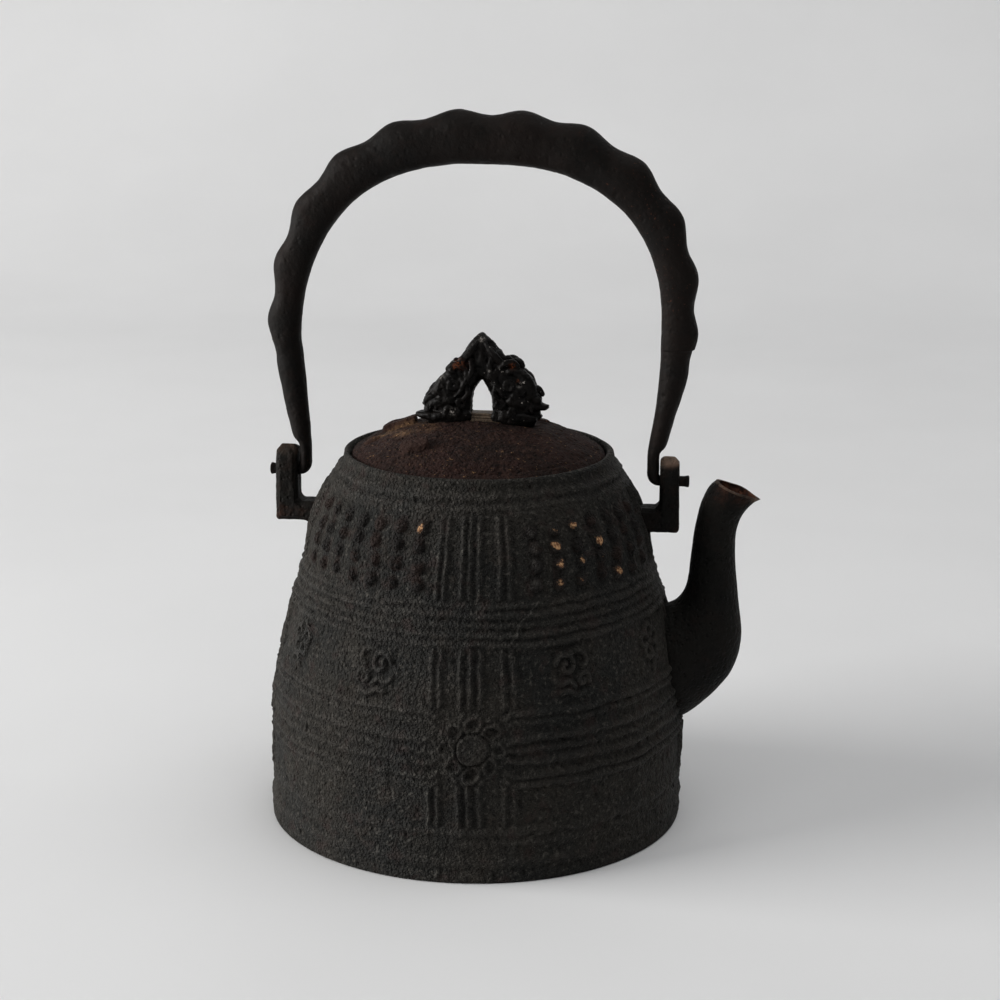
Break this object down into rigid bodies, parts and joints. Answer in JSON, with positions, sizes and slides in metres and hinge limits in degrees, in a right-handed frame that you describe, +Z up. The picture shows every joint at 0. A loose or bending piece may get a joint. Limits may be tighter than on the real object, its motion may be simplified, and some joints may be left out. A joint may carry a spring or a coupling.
{
  "type": "cast iron kettle",
  "caption": "Bell-shaped cast iron kettle with relief bands, a swinging scalloped bail in cast-in lugs, a curved spout and a lift-off domed lid with an openwork knob.",
  "frame": {"origin": "centre of the flat base, on the surface that the kettle stands on", "axes": "+Z up through the lid, +X along the spout; the bail swings about an axis along X"},
  "size_m": [0.1645, 0.1412, 0.2369],
  "materials": {
    "sand_cast_iron": "rough sand-cast iron, dark grey-brown, with rust on the high spots",
    "smooth_cast_iron": "finer cast iron, brown-black, worn pale at the lip and edges",
    "forged_iron": "worked iron, smooth dark brown with a soft sheen",
    "lid_iron": "rust-browned iron, matt maroon-brown",
    "dark_cast_iron": "fine cast iron, black with a greasy gloss",
    "worn_brass": "tarnished brass, light brown where rubbed"
  },
  "bodies": {
    "kettle": {"body_shell": "sand_cast_iron", "spout": "smooth_cast_iron", "lug_left": "smooth_cast_iron", "lug_right": "smooth_cast_iron"},
    "bail": {"bail": "forged_iron"},
    "lid": {"lid": "lid_iron", "lid_knob": "dark_cast_iron", "knob_seat": "worn_brass", "knob_washer_left": "worn_brass", "knob_washer_right": "worn_brass"}
  },
  "joints": [
    {"name": "bail_swing", "type": "hinge", "parent": "kettle", "child": "bail", "pos_m": [0, 0, 0.1163], "axis": [1, 0, 0], "range_deg": [-130, 130]},
    {"name": "lid_lift", "type": "slide", "parent": "kettle", "child": "lid", "axis": [0, 0, 1], "range_m": [0, 0.045]}
  ]
}
